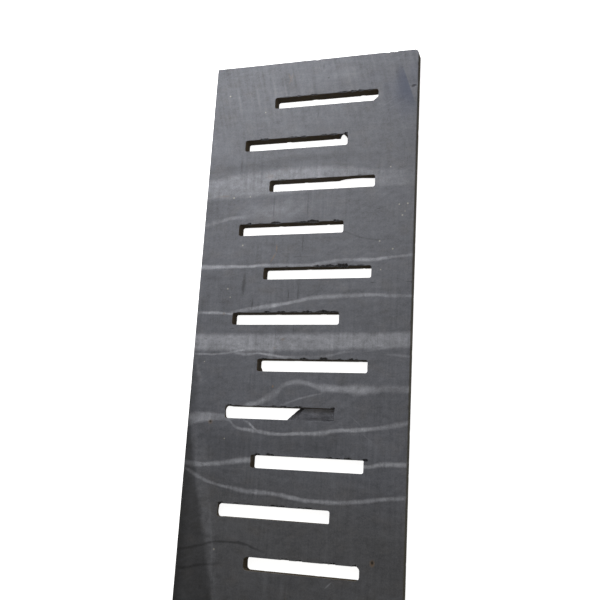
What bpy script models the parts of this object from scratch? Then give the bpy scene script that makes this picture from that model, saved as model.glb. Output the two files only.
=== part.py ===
"""A sawn slate slab with eleven staggered slots cut through it, lying on its back.

The slab lies in the XY plane, front face up (+Z). +Y runs to its head end, where the
first slot is. The origin is in the middle of the back face. Lengths are in metres.
"""

import math
import random

import bmesh
import bpy
from mathutils import Vector

# Driving dimensions of the slab and its slots.
WIDTH = 0.450
THICKNESS = 0.0265
SLOT_COUNT = 11
SLOT_LENGTH = 0.228
SLOT_HEIGHT = 0.0255
SLOT_RADIUS = 0.004
LAST_SLOT_RADIUS = 0.0075
SLOT_PITCH = 0.0952
STAGGER = 0.031
END_MARGIN = 0.0805
LENGTH = 2 * END_MARGIN + (SLOT_COUNT - 1) * SLOT_PITCH + SLOT_HEIGHT

# Worn edges: a rubbed arris all round, and one head corner rubbed round.
ARRIS = 0.0006
HEAD_CORNER_RADIUS = 0.008
ARC_STEPS = 4

# The slot that was only half cut through. A web of stone is left under its right part,
# and it ends in a slanting fracture. Places are measured from the slab's left side.
HALF_CUT_SLOT = 8
WEB_THICKNESS = 0.0105
FRACTURE_BACK = (0.204, 0.229)
FRACTURE_FRONT = (0.227, 0.242)
FRACTURE_STEPS = 6
FRACTURE_ROUGHNESS = 0.0012

# Slivers of stone left in a lower back corner: the slot, which side (1 is right), and
# how wide and high the sliver is at the back face.
SLIVERS = {1: (1, 0.008, 0.006), 7: (-1, 0.005, 0.012)}
SLIVER_THICKNESS = 0.007

# Chips along a slot's upper front edge: slot, from, to (both from the slab's left
# side), and how far the chip reaches up the face.
FRONT_CHIPS = (
    (4, 0.098, 0.107, 0.0025),
    (4, 0.150, 0.167, 0.0030),
    (4, 0.217, 0.232, 0.0030),
    (4, 0.236, 0.253, 0.0035),
    (5, 0.183, 0.192, 0.0015),
    (5, 0.249, 0.268, 0.0025),
    (5, 0.273, 0.298, 0.0040),
    (5, 0.300, 0.319, 0.0060),
    (5, 0.338, 0.351, 0.0020),
    (6, 0.149, 0.158, 0.0025),
    (6, 0.178, 0.188, 0.0030),
    (6, 0.243, 0.250, 0.0030),
    (6, 0.262, 0.283, 0.0018),
    (7, 0.213, 0.222, 0.0015),
    (7, 0.275, 0.286, 0.0030),
    (8, 0.085, 0.093, 0.0025),
    (8, 0.106, 0.115, 0.0018),
    (8, 0.140, 0.151, 0.0018),
    (8, 0.187, 0.198, 0.0018),
    (8, 0.211, 0.222, 0.0018),
    (9, 0.153, 0.161, 0.0025),
    (9, 0.177, 0.190, 0.0020),
    (10, 0.113, 0.120, 0.0020),
    (10, 0.135, 0.149, 0.0022),
    (10, 0.168, 0.175, 0.0018),
    (10, 0.188, 0.202, 0.0022),
    (10, 0.204, 0.213, 0.0018),
    (10, 0.245, 0.263, 0.0024),
    (11, 0.217, 0.230, 0.0018),
    (11, 0.247, 0.258, 0.0018),
    (11, 0.298, 0.307, 0.0020),
    (11, 0.312, 0.323, 0.0020),
    (11, 0.356, 0.363, 0.0020),
)
CHIP_DEPTH_PER_REACH = 1.6

# Flakes broken from the back face at a slot's upper wall. Each station is its place
# from the slab's left side, its reach over the back face and its depth up the wall.
TOP_SPALLS = {
    2: ((0.290, 0.0, 0.0), (0.293, 0.006, 0.018), (0.297, 0.009, 0.024),
        (0.302, 0.008, 0.023), (0.306, 0.0, 0.006)),
    3: ((0.299, 0.0, 0.0), (0.309, 0.004, 0.005), (0.317, 0.008, 0.011),
        (0.338, 0.009, 0.013), (0.356, 0.008, 0.012), (0.371, 0.004, 0.010)),
}
# The same at a slot's left wall, with stations measured down from the slot's top.
LEFT_SPALLS = {
    8: ((-0.004, 0.0, 0.004), (0.004, 0.006, 0.015), (0.014, 0.008, 0.017),
        (0.022, 0.006, 0.015), (0.029, 0.0, 0.005)),
    10: ((-0.004, 0.0, 0.003), (0.005, 0.007, 0.016), (0.013, 0.007, 0.017),
         (0.021, 0.006, 0.014), (0.029, 0.0, 0.004)),
}
SPALL_HOLLOW = 0.62

# Nicks in the slab's outer edges, from the left side and down from the head end, with
# their length along the edge.
HEAD_NICKS = ((0.232, 0.011), (0.386, 0.009), (0.402, 0.012))
RIGHT_NICKS = ((0.032, 0.008), (0.498, 0.009), (0.580, 0.012), (0.742, 0.007))
NICK_REACH = 0.0016

# A shallow flake scar beside the rubbed head corner, and a pit at its lower end.
SCAR_TOP = (0.404, 0.012)
SCAR_BOTTOM = (0.440, 0.092)
SCAR_WIDTH = 0.036
SCAR_DEPTH = 0.0011
PIT = (0.442, 0.082)
PIT_SIZE = 0.006

# Small breaks along the slots' back edges and the slab's back edges.
BACK_CHIPS_PER_SLOT = 4
BACK_EDGE_CHIPS = 26
SEED = 1138

# How far a cutter stands clear of the stone that it cuts.
CLEAR = 0.002


def clear_scene():
    for obj in list(bpy.data.objects):
        bpy.data.objects.remove(obj)


def new_collection(name):
    collection = bpy.data.collections.new(name)
    bpy.context.scene.collection.children.link(collection)
    return collection


def slate_material():
    material = bpy.data.materials.new("slate")
    material.use_nodes = True
    shader = material.node_tree.nodes["Principled BSDF"]
    shader.inputs["Base Color"].default_value = (0.100, 0.103, 0.112, 1.0)
    shader.inputs["Roughness"].default_value = 0.72
    shader.inputs["Metallic"].default_value = 0.0
    return material


def across(distance):
    """X of a place measured from the slab's left side."""
    return distance - WIDTH / 2


def along(distance):
    """Y of a place measured down from the slab's head end."""
    return LENGTH / 2 - distance


def slot_box(number):
    """Left, right, bottom and top of a slot, counted from 1 at the head end."""
    middle_x = STAGGER if number % 2 else -STAGGER
    top = along(END_MARGIN + (number - 1) * SLOT_PITCH)
    return (
        middle_x - SLOT_LENGTH / 2,
        middle_x + SLOT_LENGTH / 2,
        top - SLOT_HEIGHT,
        top,
    )


def slot_radius(number):
    return LAST_SLOT_RADIUS if number == SLOT_COUNT else SLOT_RADIUS


def arc(centre_x, centre_y, radius, start):
    """Points of a quarter circle, anticlockwise from an angle in degrees."""
    angles = [math.radians(start + 90 * step / ARC_STEPS) for step in range(ARC_STEPS + 1)]
    return [
        (centre_x + radius * math.cos(a), centre_y + radius * math.sin(a)) for a in angles
    ]


def rounded_outline(box, radius, grow=0.0):
    """An anticlockwise rectangle with round corners, grown outwards on every side."""
    left, right, bottom, top = box
    round_out = radius + grow
    return (
        arc(right - radius, top - radius, round_out, 0)
        + arc(left + radius, top - radius, round_out, 90)
        + arc(left + radius, bottom + radius, round_out, 180)
        + arc(right - radius, bottom + radius, round_out, 270)
    )


def new_object(name, bm, collection):
    """Turns a bmesh into an object whose faces point out."""
    bmesh.ops.recalc_face_normals(bm, faces=bm.faces)
    mesh = bpy.data.meshes.new(name)
    bm.to_mesh(mesh)
    bm.free()
    obj = bpy.data.objects.new(name, mesh)
    collection.objects.link(obj)
    return obj


def new_cutter(name, bm, cutters):
    obj = new_object(name, bm, cutters)
    obj.hide_render = True
    obj.display_type = "WIRE"
    return obj


def loft(rings):
    """A closed solid through rings of the same number of points."""
    bm = bmesh.new()
    loops = [[bm.verts.new(point) for point in ring] for ring in rings]
    for lower, upper in zip(loops, loops[1:]):
        for index in range(len(lower)):
            following = (index + 1) % len(lower)
            bm.faces.new((lower[index], lower[following], upper[following], upper[index]))
    bm.faces.new(list(reversed(loops[0])))
    bm.faces.new(loops[-1])
    return bm


def level(outline, height):
    return [(x, y, height) for x, y in outline]


def cut(obj, cutter):
    """Takes one object, or all of a collection, away from a solid."""
    modifier = obj.modifiers.new("cut", "BOOLEAN")
    modifier.operation = "DIFFERENCE"
    modifier.solver = "EXACT"
    if isinstance(cutter, bpy.types.Collection):
        modifier.operand_type = "COLLECTION"
        modifier.collection = cutter
    else:
        modifier.object = cutter


def slab_blank(collection):
    """The sawn slab before its slots: straight sides, one round corner, rubbed arrises."""
    left, right = -WIDTH / 2, WIDTH / 2
    bottom, top = -LENGTH / 2, LENGTH / 2
    outline = [(left, bottom), (right, bottom)]
    corner_x = right - HEAD_CORNER_RADIUS
    corner_y = top - HEAD_CORNER_RADIUS
    outline += arc(corner_x, corner_y, HEAD_CORNER_RADIUS, 0)
    outline.append((left, top))
    bm = loft([level(outline, 0.0), level(outline, THICKNESS)])
    rims = [edge for edge in bm.edges if edge.verts[0].co.z == edge.verts[1].co.z]
    bmesh.ops.bevel(bm, geom=rims, offset=ARRIS, segments=1, affect="EDGES")
    return new_object("slate_slab", bm, collection)


def slot_rings(box, radius, lowest):
    """Rings of a slot from a level up through the face, flared at the face's arris."""
    return [
        level(rounded_outline(box, radius), lowest),
        level(rounded_outline(box, radius), THICKNESS - ARRIS),
        level(rounded_outline(box, radius, ARRIS + CLEAR), THICKNESS + CLEAR),
    ]


def through_slot(number, cutters):
    """A slot cut right through, with its arris flared on both faces."""
    box = slot_box(number)
    radius = slot_radius(number)
    flare = level(rounded_outline(box, radius, ARRIS + CLEAR), -CLEAR)
    rings = [flare] + slot_rings(box, radius, ARRIS)
    return new_cutter(f"cut_slot_{number:02d}", loft(rings), cutters)


def keep_sliver(number, slot, helpers):
    """Leaves a small three-cornered sliver in one lower back corner of a slot."""
    side, width, height = SLIVERS[number]
    left, right, bottom, _ = slot_box(number)
    wall = right if side > 0 else left
    rings = []
    for share, height_at in ((1.0, -2 * CLEAR), (0.5, SLIVER_THICKNESS)):
        corner = (
            (wall + side * CLEAR, bottom - CLEAR),
            (wall + side * CLEAR, bottom + height * share),
            (wall - side * width * share, bottom - CLEAR),
        )
        rings.append(level(corner, height_at))
    sliver = new_cutter(f"keep_sliver_{number:02d}", loft(rings), helpers)
    cut(slot, sliver)


def fracture_line(bottom_x, top_x, box, rng):
    """Points up the broken end of the web, a little out of line with each other."""
    _, _, bottom, top = box
    points = []
    for step in range(FRACTURE_STEPS + 1):
        share = step / FRACTURE_STEPS
        wander = rng.uniform(-1.0, 1.0) * FRACTURE_ROUGHNESS * (0 < step < FRACTURE_STEPS)
        x = across(bottom_x + (top_x - bottom_x) * share) + wander
        points.append((x, bottom + (top - bottom) * share))
    return points


def half_cut_slot(cutters):
    """The slot cut only to a web on its right, and right through on its left."""
    box = slot_box(HALF_CUT_SLOT)
    left, _, bottom, top = box
    rings = slot_rings(box, SLOT_RADIUS, WEB_THICKNESS)
    new_cutter("cut_recess", loft(rings), cutters)

    rng = random.Random(SEED)
    left_end = (
        arc(left + SLOT_RADIUS, top - SLOT_RADIUS, SLOT_RADIUS, 90)
        + arc(left + SLOT_RADIUS, bottom + SLOT_RADIUS, SLOT_RADIUS, 180)
    )
    back_line = fracture_line(*FRACTURE_BACK, box, rng)
    front_line = fracture_line(*FRACTURE_FRONT, box, rng)
    # The broken end is carried on past both faces of the web at its own slope.
    over = CLEAR / WEB_THICKNESS
    below = [(b[0] - (f[0] - b[0]) * over, b[1]) for b, f in zip(back_line, front_line)]
    above = [(f[0] + (f[0] - b[0]) * over, f[1]) for b, f in zip(back_line, front_line)]
    rings = [
        level(below + left_end, -CLEAR),
        level(above + left_end, WEB_THICKNESS + CLEAR),
    ]
    new_cutter("cut_open_part", loft(rings), cutters)


def flake(name, centre, size, rng, cutters):
    """A crooked lump as wide, deep and high as one chip."""
    bm = bmesh.new()
    bmesh.ops.create_icosphere(bm, subdivisions=1, radius=0.5)
    for vert in bm.verts:
        vert.co *= rng.uniform(0.80, 1.15)
        vert.co = Vector(a * b for a, b in zip(vert.co, size)) + Vector(centre)
    return new_cutter(name, bm, cutters)


def front_chips(rng, cutters):
    for count, (number, start, end, reach) in enumerate(FRONT_CHIPS):
        top = slot_box(number)[3]
        centre = (across((start + end) / 2), top, THICKNESS)
        size = (end - start, 2 * reach + ARRIS, 2 * reach * CHIP_DEPTH_PER_REACH)
        flake(f"front_chip_{count:02d}", centre, size, rng, cutters)


def spall(name, start, run, inward, stations, cutters):
    """A flake off the back face along a wall.

    start is a point on the wall's back edge, run the way along the edge, and inward
    the way into the stone from the wall.
    """
    rings = []
    for place, reach, depth in stations:
        hollow = (reach * SPALL_HOLLOW, depth * SPALL_HOLLOW)
        section = (
            (-CLEAR, -CLEAR),
            (reach, -CLEAR),
            (reach, 0.0),
            hollow,
            (0.0, depth),
            (-CLEAR, depth),
        )
        base = Vector(start) + Vector(run) * place
        rings.append([base + Vector(inward) * side + Vector((0, 0, up)) for side, up in section])
    return new_cutter(name, loft(rings), cutters)


def top_spalls(cutters):
    for number, stations in TOP_SPALLS.items():
        start = (-WIDTH / 2, slot_box(number)[3], 0.0)
        spall(f"top_spall_{number:02d}", start, (1, 0, 0), (0, 1, 0), stations, cutters)


def left_spalls(cutters):
    for number, stations in LEFT_SPALLS.items():
        left, _, _, top = slot_box(number)
        name = f"left_spall_{number:02d}"
        spall(name, (left, top, 0.0), (0, -1, 0), (-1, 0, 0), stations, cutters)


def outer_nicks(rng, cutters):
    """Nicks in the front arris of the head end and of the right side."""
    for count, (place, length) in enumerate(HEAD_NICKS):
        centre = (across(place), LENGTH / 2, THICKNESS)
        size = (length, 2 * NICK_REACH, 4 * NICK_REACH)
        flake(f"head_nick_{count}", centre, size, rng, cutters)
    for count, (place, length) in enumerate(RIGHT_NICKS):
        centre = (WIDTH / 2, along(place), THICKNESS)
        size = (2 * NICK_REACH, length, 4 * NICK_REACH)
        flake(f"right_nick_{count}", centre, size, rng, cutters)


def back_chips(rng, cutters):
    """Small breaks along the back edges, where the saw came out of the stone."""
    for number in range(1, SLOT_COUNT + 1):
        left, right, bottom, top = slot_box(number)
        if number == HALF_CUT_SLOT:
            right = across(FRACTURE_BACK[0])
        for count in range(BACK_CHIPS_PER_SLOT):
            wall = (bottom, top)[count % 2]
            share = (count + rng.uniform(0.2, 0.8)) / BACK_CHIPS_PER_SLOT
            size = (rng.uniform(0.006, 0.020), rng.uniform(0.003, 0.007), 0.005)
            centre = (left + (right - left) * share, wall, 0.0)
            flake(f"back_chip_{number:02d}_{count}", centre, size, rng, cutters)
    around = 2 * (WIDTH + LENGTH)
    for count in range(BACK_EDGE_CHIPS):
        place = around * (count + rng.uniform(0.2, 0.8)) / BACK_EDGE_CHIPS
        size = [0.003, rng.uniform(0.006, 0.016), 0.004]
        if place < 2 * LENGTH:
            side = -1 if place < LENGTH else 1
            centre = (side * WIDTH / 2, place % LENGTH - LENGTH / 2, 0.0)
        else:
            place -= 2 * LENGTH
            side = -1 if place < WIDTH else 1
            centre = (place % WIDTH - WIDTH / 2, side * LENGTH / 2, 0.0)
            size[0], size[1] = size[1], size[0]
        flake(f"edge_chip_{count:02d}", centre, size, rng, cutters)


def head_scar(rng, cutters):
    """A thin wedge, deepest along its right side, and the pit below it."""
    top = Vector((across(SCAR_TOP[0]), along(SCAR_TOP[1]), THICKNESS))
    bottom = Vector((across(SCAR_BOTTOM[0]), along(SCAR_BOTTOM[1]), THICKNESS))
    middle = top.lerp(bottom, 0.45)
    lift = Vector((0, 0, CLEAR))
    sink = Vector((0, 0, SCAR_DEPTH))
    far = middle - Vector((SCAR_WIDTH, 0.004, 0))
    low = bottom - Vector((SCAR_WIDTH * 0.6, 0.012, 0))
    floor = [top - sink * 0.3, far, low, bottom - sink * 0.5, middle - sink]
    roof = [top + lift, far + lift, low + lift, bottom + lift, middle + lift]
    new_cutter("head_scar", loft([floor, roof]), cutters)
    centre = (across(PIT[0]), along(PIT[1]), THICKNESS)
    flake("pit", centre, (PIT_SIZE, PIT_SIZE * 0.8, PIT_SIZE * 0.7), rng, cutters)


def build():
    clear_scene()
    cutters = new_collection("cutters")
    helpers = new_collection("helpers")
    slab = slab_blank(bpy.context.scene.collection)
    slab.data.materials.append(slate_material())

    for number in range(1, SLOT_COUNT + 1):
        if number == HALF_CUT_SLOT:
            half_cut_slot(cutters)
        else:
            slot = through_slot(number, cutters)
            if number in SLIVERS:
                keep_sliver(number, slot, helpers)
    rng = random.Random(SEED)
    front_chips(rng, cutters)
    top_spalls(cutters)
    left_spalls(cutters)
    outer_nicks(rng, cutters)
    back_chips(rng, cutters)
    head_scar(rng, cutters)
    cut(slab, cutters)


build()
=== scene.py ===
import math
import random

import bpy
from mathutils import Matrix, Vector


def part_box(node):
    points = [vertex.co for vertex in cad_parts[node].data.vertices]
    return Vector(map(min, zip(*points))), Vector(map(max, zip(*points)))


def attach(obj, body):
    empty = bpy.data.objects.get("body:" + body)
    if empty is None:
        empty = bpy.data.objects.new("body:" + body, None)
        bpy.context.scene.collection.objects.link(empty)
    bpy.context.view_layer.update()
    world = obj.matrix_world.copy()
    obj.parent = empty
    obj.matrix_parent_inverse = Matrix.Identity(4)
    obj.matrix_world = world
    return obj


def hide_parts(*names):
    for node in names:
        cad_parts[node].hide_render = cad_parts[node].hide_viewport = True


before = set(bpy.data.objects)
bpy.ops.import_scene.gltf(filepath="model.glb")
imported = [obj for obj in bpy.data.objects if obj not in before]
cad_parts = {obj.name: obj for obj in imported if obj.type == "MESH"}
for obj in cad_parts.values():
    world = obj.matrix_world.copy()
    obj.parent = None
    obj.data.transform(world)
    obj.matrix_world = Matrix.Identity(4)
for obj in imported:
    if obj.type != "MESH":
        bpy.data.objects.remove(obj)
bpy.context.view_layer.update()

bl_info = {
    "name": "Slotted Slate Slab",
    "version": (1, 0, 0),
    "blender": (4, 5, 0),
    "location": "3D View > Sidebar > Slate",
    "description": "Cuts, chips and weathers a slate slab with staggered slots",
    "category": "Object",
}

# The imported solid, before anything stands for it.
SLAB_LOW, SLAB_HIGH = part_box("slate_slab")
WIDTH = SLAB_HIGH[0] - SLAB_LOW[0]
LENGTH = SLAB_HIGH[1] - SLAB_LOW[1]
THICKNESS = SLAB_HIGH[2] - SLAB_LOW[2]
MM = 0.001


def srgb(code, alpha=1.0):
    """A hex colour as Blender's linear red, green, blue and alpha."""
    parts = [int(code[i:i + 2], 16) / 255 for i in (1, 3, 5)]
    linear = [
        p / 12.92 if p <= 0.04045 else ((p + 0.055) / 1.055) ** 2.4 for p in parts]
    return (*linear, alpha)


# --------------------------------------------------------------------------------------
# What a user would change
# --------------------------------------------------------------------------------------


class SlateSizes(bpy.types.PropertyGroup):
    """Sizes of the slots and of the wear on their edges."""

    slot_count: bpy.props.IntProperty(
        name="Slots", description="How many slots cross the slab", default=11, min=1)
    slot_length: bpy.props.FloatProperty(
        name="Slot length", description="End to end", default=0.227, unit="LENGTH")
    slot_height: bpy.props.FloatProperty(
        name="Slot height", description="Across the slot", default=0.025, unit="LENGTH")
    slot_pitch: bpy.props.FloatProperty(
        name="Slot pitch", description="From one slot to the next", default=0.0952,
        unit="LENGTH")
    stagger: bpy.props.FloatProperty(
        name="Stagger", description="How far each slot is shifted to its side",
        default=0.0307, unit="LENGTH")
    slot_offset: bpy.props.FloatProperty(
        name="Slot offset", description="How far all slots lie right of the middle",
        default=-0.0008, unit="LENGTH")
    end_margin: bpy.props.FloatProperty(
        name="End margin", description="From the head end to the first slot",
        default=0.0805, unit="LENGTH")
    slot_radius: bpy.props.FloatProperty(
        name="Slot corner radius", description="Radius in the slots' corners",
        default=0.004, unit="LENGTH")
    last_slot_radius: bpy.props.FloatProperty(
        name="Last slot corner radius",
        description="The slot nearest the foot has rounder corners",
        default=0.0075, unit="LENGTH")
    slot_wear: bpy.props.FloatProperty(
        name="Slot edge wear",
        description="Mean depth of the broken arris of the slots",
        default=0.0005, unit="LENGTH")
    side_wear: bpy.props.FloatProperty(
        name="Side edge wear",
        description="Mean depth of the broken arris of the sides",
        default=0.0007, unit="LENGTH")


class SlateLook(bpy.types.PropertyGroup):
    """Colours of the stone."""

    stone: bpy.props.FloatVectorProperty(
        name="Stone", description="Blue-grey body of the slate",
        subtype="COLOR", size=4, min=0.0, max=1.0, default=srgb("#5a5c63"))
    foot_stone: bpy.props.FloatVectorProperty(
        name="Stone at the foot", description="Body of the slate towards the foot, darker and less blue",
        subtype="COLOR", size=4, min=0.0, max=1.0, default=srgb("#55565a"))
    vein: bpy.props.FloatVectorProperty(
        name="Vein", description="Paler sandy bands in the slate",
        subtype="COLOR", size=4, min=0.0, max=1.0, default=srgb("#92949b"))
    dust: bpy.props.FloatVectorProperty(
        name="Slot dust", description="Brown cutting dust left in the slots",
        subtype="COLOR", size=4, min=0.0, max=1.0, default=srgb("#665942"))
    side_dust: bpy.props.FloatVectorProperty(
        name="Side dust", description="Olive dust on the sawn sides",
        subtype="COLOR", size=4, min=0.0, max=1.0, default=srgb("#66654f"))
    fresh_dust: bpy.props.FloatVectorProperty(
        name="Fresh dust", description="Pale dust on the torn web",
        subtype="COLOR", size=4, min=0.0, max=1.0, default=srgb("#7f7a74"))
    # This colour is also that of the painted shade along the scar's step.
    smear_and_shade: bpy.props.FloatVectorProperty(
        name="Smear", description="Blue-black smears near the head corner",
        subtype="COLOR", size=4, min=0.0, max=1.0, default=srgb("#2c3650"))
    rust: bpy.props.FloatVectorProperty(
        name="Rust", description="Weathered iron grains", subtype="COLOR", size=4,
        min=0.0, max=1.0, default=srgb("#7e6850"))
    speck: bpy.props.FloatVectorProperty(
        name="Speck", description="Pale mineral grains and bruises", subtype="COLOR",
        size=4, min=0.0, max=1.0, default=srgb("#a9a69c"))


class SlateStage(bpy.types.PropertyGroup):
    """The floor, the lights and the camera."""

    floor: bpy.props.FloatVectorProperty(
        name="Floor", description="Pale studio floor", subtype="COLOR", size=4,
        min=0.0, max=1.0, default=srgb("#f6f6f6"))
    glow: bpy.props.FloatProperty(
        name="Floor glow", description="How strongly the floor itself glows",
        default=0.92)
    fill: bpy.props.FloatProperty(
        name="Fill", description="Strength of the soft light all round", default=0.17)
    lens: bpy.props.FloatProperty(
        name="Lens", description="Focal length on a 36 mm sensor, in millimetres",
        default=48.53)


# --------------------------------------------------------------------------------------
# Modelling tools
# --------------------------------------------------------------------------------------


def select_only(*objects):
    """Selects these objects and nothing else, and makes the first one active."""
    bpy.ops.object.select_all(action="DESELECT")
    for obj in objects:
        obj.select_set(True)
    bpy.context.view_layer.objects.active = objects[0]


def settle(obj):
    """Puts an object's place, turn and scale into its mesh."""
    select_only(obj)
    bpy.ops.object.transform_apply(location=True, rotation=True, scale=True)


def edit(obj, mode="EDGE"):
    """Opens an object in edit mode with all of it selected."""
    select_only(obj)
    bpy.ops.object.mode_set(mode="EDIT")
    bpy.ops.mesh.select_mode(type=mode)
    bpy.ops.mesh.select_all(action="SELECT")


def done():
    """Leaves edit mode."""
    bpy.ops.object.mode_set(mode="OBJECT")


def pick_edges(obj, test):
    """Opens an object in edit mode, with only the edges whose ends pass a test."""
    edit(obj)
    bpy.ops.mesh.select_all(action="DESELECT")
    done()
    for edge in obj.data.edges:
        edge.select = test(*(obj.data.vertices[i].co for i in edge.vertices))
    bpy.ops.object.mode_set(mode="EDIT")


def pick_faces(obj, test):
    """Opens an object in edit mode, with only the faces that pass a test."""
    edit(obj, "FACE")
    bpy.ops.mesh.select_all(action="DESELECT")
    done()
    for face in obj.data.polygons:
        face.select = test(face)
    bpy.ops.object.mode_set(mode="EDIT")


def join(objects, name):
    """Joins objects into the first one."""
    select_only(*objects)
    bpy.ops.object.join()
    joined = bpy.context.object
    joined.name = name
    return joined


def face_out(obj):
    """Turns every face of a closed mesh outwards."""
    edit(obj, "FACE")
    bpy.ops.mesh.normals_make_consistent(inside=False)
    done()


def subtract(obj, cutter, finish):
    """Cuts one object out of another. The cut faces get the finish."""
    edit(cutter, "FACE")
    bpy.ops.mesh.quads_convert_to_tris(quad_method="BEAUTY", ngon_method="BEAUTY")
    done()
    cutter.data.materials.clear()
    cutter.data.materials.append(bpy.data.materials[finish])
    select_only(obj)
    modifier = obj.modifiers.new("cut", "BOOLEAN")
    modifier.operation = "DIFFERENCE"
    modifier.solver = "EXACT"
    modifier.material_mode = "TRANSFER"
    modifier.object = cutter
    bpy.ops.object.modifier_apply(modifier=modifier.name)
    bpy.data.objects.remove(cutter)


def roughen(obj, grain, height, name, group="", direction="NORMAL", guide=None):
    """Pushes a surface in and out by a cloudy noise, which a guide may stretch."""
    texture = bpy.data.textures.new(name, "CLOUDS")
    texture.noise_scale = grain
    texture.noise_depth = 2
    select_only(obj)
    modifier = obj.modifiers.new(name, "DISPLACE")
    modifier.texture = texture
    modifier.texture_coords = "OBJECT" if guide else "GLOBAL"
    modifier.texture_coords_object = guide
    modifier.strength = height
    modifier.mid_level = 0.5
    modifier.direction = direction
    modifier.vertex_group = group
    bpy.ops.object.modifier_apply(modifier=modifier.name)


def across(distance):
    """X of a place measured in millimetres from the slab's left side."""
    return SLAB_LOW[0] + distance * MM


def down(distance):
    """Y of a place measured in millimetres from the slab's head end."""
    return SLAB_HIGH[1] - distance * MM


def slot_box(sizes, number):
    """Left, right, bottom and top of a slot, counted from 1 at the head end."""
    middle = sizes.slot_offset + (sizes.stagger if number % 2 else -sizes.stagger)
    top = SLAB_HIGH[1] - sizes.end_margin - (number - 1) * sizes.slot_pitch
    top -= SLOT_DRIFT[(number - 1) % len(SLOT_DRIFT)] * MM
    half = sizes.slot_length / 2
    return middle - half, middle + half, top - sizes.slot_height, top


def slot_radius(sizes, number):
    """The corner radius of a slot."""
    return sizes.last_slot_radius if number == sizes.slot_count else sizes.slot_radius


# --------------------------------------------------------------------------------------
# The slab
# --------------------------------------------------------------------------------------

HONED, SAWN, DUSTY, BROKEN, TORN = (
    "Honed slate", "Sawn slate", "Dusty slot wall", "Broken slate", "Torn slate")

# How far a cutter stands clear of the face that it cuts through.
CLEAR = 2 * MM
ROUND_SEGMENTS = 8
HEAD_CORNER_RADIUS = 8 * MM
SIDE_CORNER_WEAR = 0.7 * MM
# How far apart the points of a worn edge are, round the slots and round the slab.
SLOT_RIM_STEP = 1.6 * MM
SIDE_RIM_STEP = 2.2 * MM
# The unevenness of a worn edge: grain and height of its small and its long breaks.
FINE_WEAR = (3 * MM, 0.9 * MM)
LONG_WEAR = (17 * MM, 0.7 * MM)

# How far each slot was cut below its even place, from the head end on, in mm.
SLOT_DRIFT = (1.5, 0.8, 0.3, 0.0, 0.3, -0.6, -0.6, -0.9, -1.2, -0.2, 0.3)

# The slot that was cut through only on its left. Under the rest a web of stone is left.
HALF_CUT_SLOT = 8
WEB_THICKNESS = 10.5 * MM
# The web was torn, not cut, to its last thickness, a little inside the slot's walls.
TORN_DEPTH = 0.9 * MM
TORN_INSET = 0.4 * MM
TORN_GRID = (96, 26)
# Its ridges are much longer than they are wide. Grain and height of both roughnesses.
RIDGE_STRETCH = 9
TORN_RIDGES = (2.4 * MM, 1.5 * MM)
TORN_STEPS = (9 * MM, 1.2 * MM)
# The broken end of the web, in millimetres from the left side, at its bottom and top.
FRACTURE_BACK = (201, 229)
FRACTURE_FRONT = (224, 242)
FRACTURE_CUTS = 14
FRACTURE_BREAKS = (5 * MM, 3.5 * MM)

# Slivers left in a lower corner: slot, side (1 is right), width and height at the back
# and how far up they would run out, in mm.
SLIVERS = ((1, 1, 14, 12, 80), (7, -1, 5, 12, 14))

# Chips along a slot's upper front edge: slot, from, to and reach up the face, in mm.
FRONT_CHIPS = (
    (1, 164, 171, 2.0), (1, 190, 200, 2.0), (1, 222, 236, 2.2), (1, 284, 300, 2.8),
    (1, 309, 321, 2.8), (1, 326, 337, 2.8), (1, 345, 355, 2.4), (2, 114, 132, 3.0),
    (2, 176, 190, 2.4), (2, 190, 196, 2.2), (2, 205, 216, 2.4), (2, 250, 260, 2.8),
    (2, 268, 284, 2.8), (2, 300, 306, 4.0), (3, 160, 176, 2.0), (3, 232, 244, 2.0),
    (3, 330, 342, 2.2), (4, 98, 106, 4.0), (4, 122, 134, 2.2), (4, 151, 172, 4.5),
    (4, 208, 230, 2.7), (4, 229, 255, 5.9), (4, 286, 298, 4.0), (5, 183, 192, 1.8),
    (5, 249, 268, 3.1), (5, 268, 300, 4.5), (5, 300, 320, 6.3), (5, 324, 332, 2.2),
    (5, 338, 351, 2.2), (6, 88, 104, 1.8), (6, 149, 161, 4.0), (6, 178, 192, 5.0),
    (6, 203, 222, 2.7), (6, 232, 252, 5.0), (6, 259, 282, 5.0), (6, 284, 306, 3.1),
    (7, 151, 162, 2.6), (7, 206, 214, 2.4), (7, 232, 248, 3.2), (7, 272, 286, 5.0),
    (7, 309, 319, 2.4), (7, 331, 339, 4.0), (7, 344, 348, 2.4), (8, 84, 93, 4.0),
    (8, 100, 112, 2.4), (8, 140, 151, 2.4), (8, 176, 189, 2.8), (8, 197, 208, 2.8),
    (8, 226, 239, 2.6), (8, 300, 308, 3.0), (9, 150, 159, 4.0), (9, 175, 189, 4.8),
    (9, 254, 268, 3.2), (9, 294, 306, 3.5), (9, 312, 323, 3.5), (9, 331, 347, 3.5),
    (9, 366, 376, 3.8), (10, 80, 90, 4.4), (10, 113, 121, 4.2), (10, 136, 152, 4.2),
    (10, 168, 175, 3.0), (10, 191, 205, 4.8), (10, 206, 220, 3.8), (10, 246, 254, 5.0),
    (10, 257, 272, 4.8), (11, 217, 230, 3.8), (11, 247, 258, 3.8), (11, 298, 307, 4.0),
    (11, 312, 323, 4.0), (11, 356, 363, 4.0),
)
CHIP_DEPTH_PER_REACH = 2.0
# A chip comes off in flakes about this long, in mm, and reaches highest in its middle.
FLAKE_SPACING = 6.0
CHIP_CROWN = 1.4
# The range of a flake's rise and of its length, as shares, and of its turn in radians.
FLAKE_RISE = (0.6, 1.1)
FLAKE_LENGTH = (1.1, 1.8)
FLAKE_TURN = (-0.5, 0.5)
# How crooked a lump is, as a share of its size.
LUMP_CROOKED = 0.11

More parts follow.
